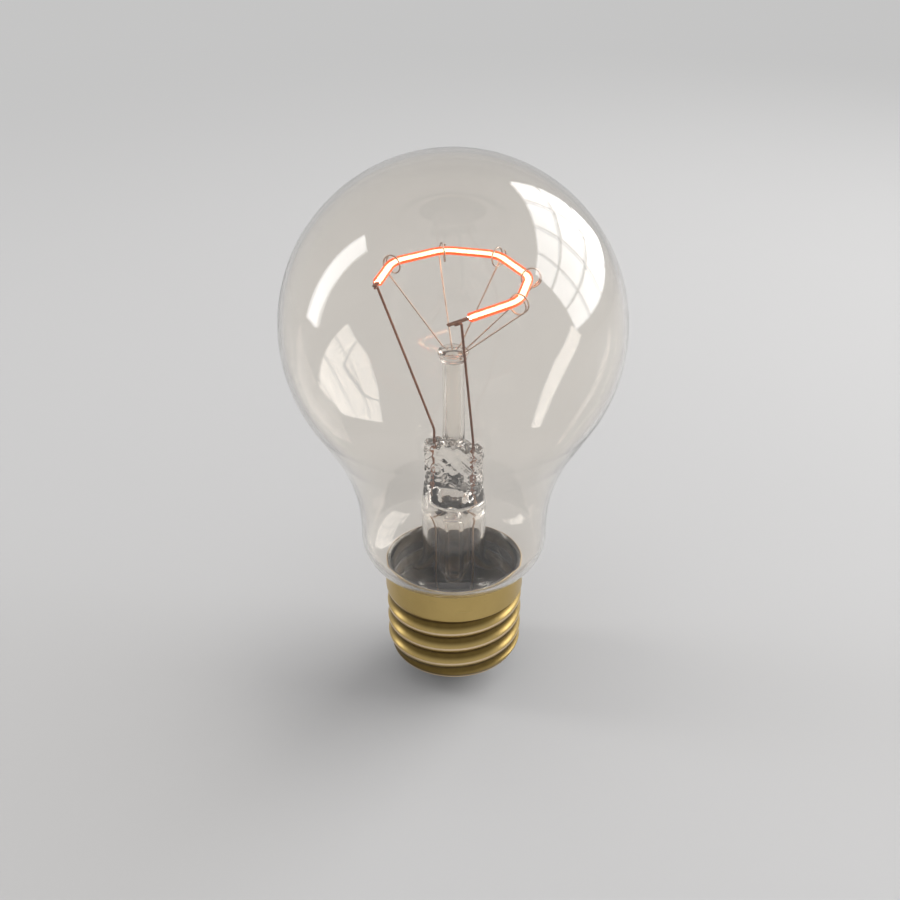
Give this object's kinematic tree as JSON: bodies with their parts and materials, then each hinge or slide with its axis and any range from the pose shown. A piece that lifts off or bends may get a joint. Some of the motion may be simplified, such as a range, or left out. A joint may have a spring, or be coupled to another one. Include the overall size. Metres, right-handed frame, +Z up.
{
  "type": "led filament bulb",
  "caption": "Clear pear-shaped glass lamp with a curved glowing LED filament on wire supports, a glass stem and a brass screw cap.",
  "frame": {"origin": "middle of the centre contact's flat underside", "axes": "+Z up the lamp's axis from the contact to the crown of the glass; -Y is the side the front end of the filament faces"},
  "size_m": [0.06, 0.06, 0.1045],
  "materials": {
    "clear_glass": "clear blown glass, polished",
    "stem_glass": "clear drawn glass",
    "support_wire": "drawn molybdenum, warm grey",
    "lead_wire": "darkened nickel-plated iron",
    "seal_wire": "red copper-clad seal wire",
    "copper_lead": "bare copper",
    "phosphor_coat": "soft silicone with phosphor, lit",
    "filament_strip": "thin flexible metal strip",
    "led_chip": "bare LED chip",
    "filament_tab": "dark heat-tinted metal",
    "cap_brass": "satin aged brass sheet, rolled thread",
    "cap_cement": "hard brown basing cement",
    "black_insulator": "black glass insulator",
    "contact_metal": "tinned brass",
    "solder": "dull solder",
    "black_plastic": "black moulded plastic",
    "circuit_board": "dark brown laminate",
    "chip_plastic": "black moulded package",
    "capacitor_can": "dark sleeve",
    "resistor_coat": "blue-grey lacquer",
    "red_wire": "red insulation",
    "blue_wire": "blue insulation"
  },
  "bodies": {
    "root": {"glass_envelope": "clear_glass", "stem_flare": "stem_glass", "stem_press": "stem_glass", "exhaust_tube": "stem_glass", "arbor_tube": "stem_glass", "arbor_button": "stem_glass", "support_left": "support_wire", "support_back": "support_wire", "support_right_back": "support_wire", "support_right": "support_wire", "support_right_front": "support_wire", "inner_lead_left": "lead_wire", "inner_lead_right": "lead_wire", "seal_wire_left": "seal_wire", "seal_wire_right": "seal_wire", "outer_lead_left": "copper_lead", "outer_lead_right": "copper_lead", "filament_coat": "phosphor_coat", "filament_strip": "filament_strip", "filament_chips": "led_chip", "filament_tab_start": "filament_tab", "filament_tab_end": "filament_tab", "cap_shell": "cap_brass", "cap_cement": "cap_cement", "cap_insulator": "black_insulator", "centre_contact": "contact_metal", "contact_solder": "solder", "insulating_cup": "black_plastic", "driver_board": "circuit_board", "bridge_rectifier": "chip_plastic", "driver_chip": "chip_plastic", "smoothing_capacitor": "capacitor_can", "fuse_resistor": "resistor_coat", "contact_wire": "red_wire", "shell_wire": "blue_wire"}
  },
  "joints": []
}
